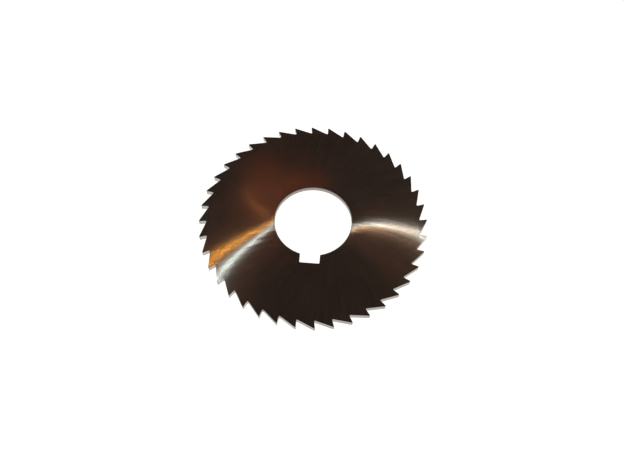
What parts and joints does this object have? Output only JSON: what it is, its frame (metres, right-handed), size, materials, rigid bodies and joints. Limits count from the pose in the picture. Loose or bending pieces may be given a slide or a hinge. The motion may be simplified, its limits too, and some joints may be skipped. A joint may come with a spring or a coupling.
{
  "type": "slitting saw",
  "caption": "Thin toothed steel disc with a keyed centre bore, clamped on a milling arbor to cut narrow slots and part off stock.",
  "frame": {"origin": "centre of the bore, on the lower side of the saw", "axes": "+Z along the bore axis, keyway towards -Y; seen from +Z the teeth cut counter-clockwise"},
  "size_m": [0.0748, 0.0748, 0.002],
  "materials": {
    "ground_steel": "dark brown tempered high speed steel with ground sides, bright ground tooth faces and bore"
  },
  "bodies": {
    "root": {"saw_blade": "ground_steel"}
  },
  "joints": []
}
